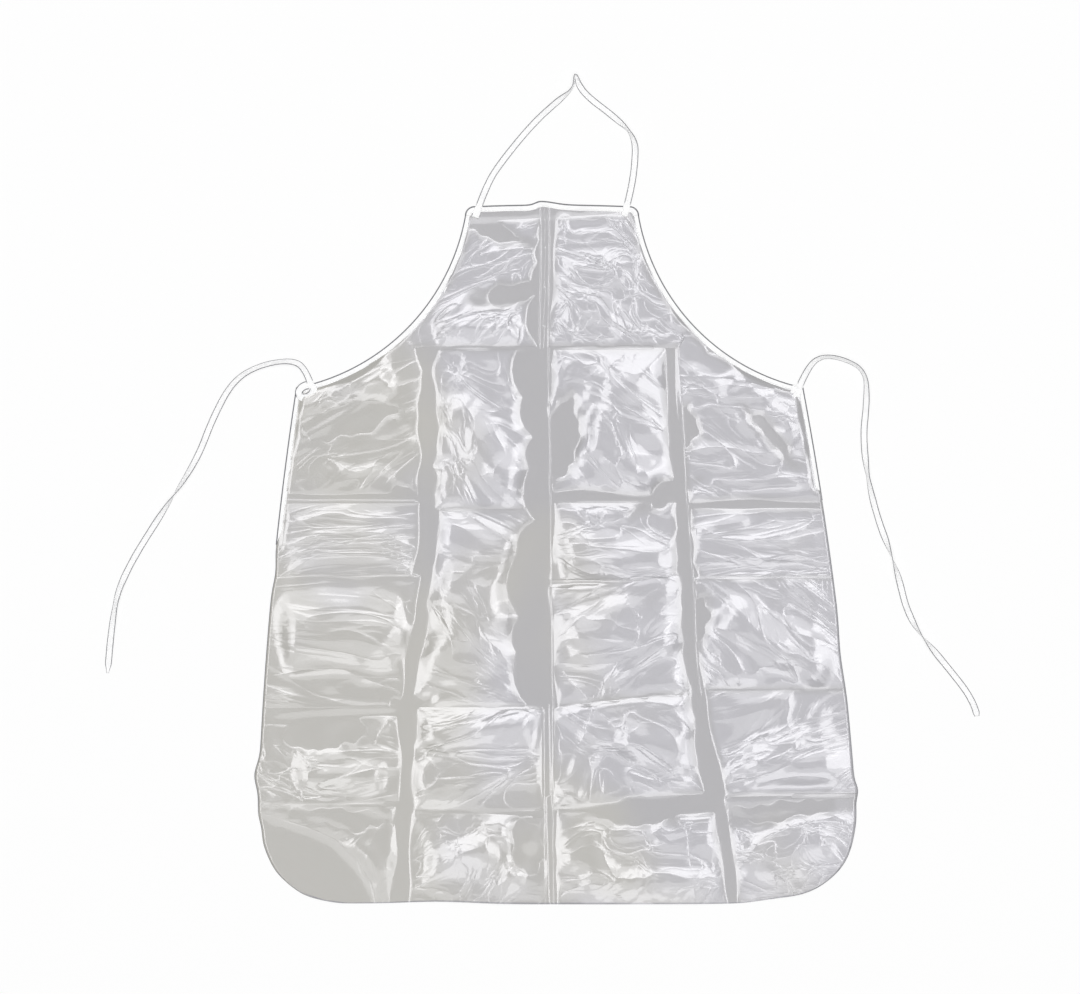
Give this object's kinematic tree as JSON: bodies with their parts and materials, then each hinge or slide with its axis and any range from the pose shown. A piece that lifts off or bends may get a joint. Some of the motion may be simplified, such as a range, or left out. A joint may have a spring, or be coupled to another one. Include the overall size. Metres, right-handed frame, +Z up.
{
  "type": "bib apron",
  "caption": "Bib apron of clear grey plastic film with taped armholes and sides, a neck loop and two waist ties, spread out flat.",
  "frame": {"origin": "under the middle of the apron with its neck loop laid flat, on the surface it lies on, the loose waist ties left aside", "axes": "+Y from the hem towards the neck, +Z up out of the surface, +X to the right as seen from above"},
  "size_m": [1.3139, 1.2392, 0.0019],
  "materials": {
    "film": "smooth glossy flexible film, creased from its folds",
    "binding_tape": "white woven tape folded over the edge and stitched",
    "strap_tape": "white woven tape, double, stitched flat"
  },
  "bodies": {
    "apron": {"film_panel": "film", "bib_binding": "binding_tape", "left_armhole_binding": "binding_tape", "right_armhole_binding": "binding_tape", "left_side_binding": "binding_tape", "right_side_binding": "binding_tape", "neck_strap_left_end": "strap_tape", "neck_strap_right_end": "strap_tape", "left_tie_end": "strap_tape", "right_tie_end": "strap_tape"},
    "neck_loop": {"neck_strap": "strap_tape"},
    "left_waist_tie": {"left_tie": "strap_tape"},
    "right_waist_tie": {"right_tie": "strap_tape"}
  },
  "joints": [
    {"name": "neck_loop_fold", "type": "hinge", "parent": "apron", "child": "neck_loop", "pos_m": [-0.0076, 0.43, 0.0022], "axis": [1, 0, 0], "range_deg": [0, 165]},
    {"name": "left_tie_fold", "type": "hinge", "parent": "apron", "child": "left_waist_tie", "pos_m": [-0.3635, 0.1615, 0.0022], "axis": [0, 1, 0], "range_deg": [0, 165]},
    {"name": "right_tie_fold", "type": "hinge", "parent": "apron", "child": "right_waist_tie", "pos_m": [0.3565, 0.158, 0.0022], "axis": [0, -1, 0], "range_deg": [0, 165]}
  ]
}
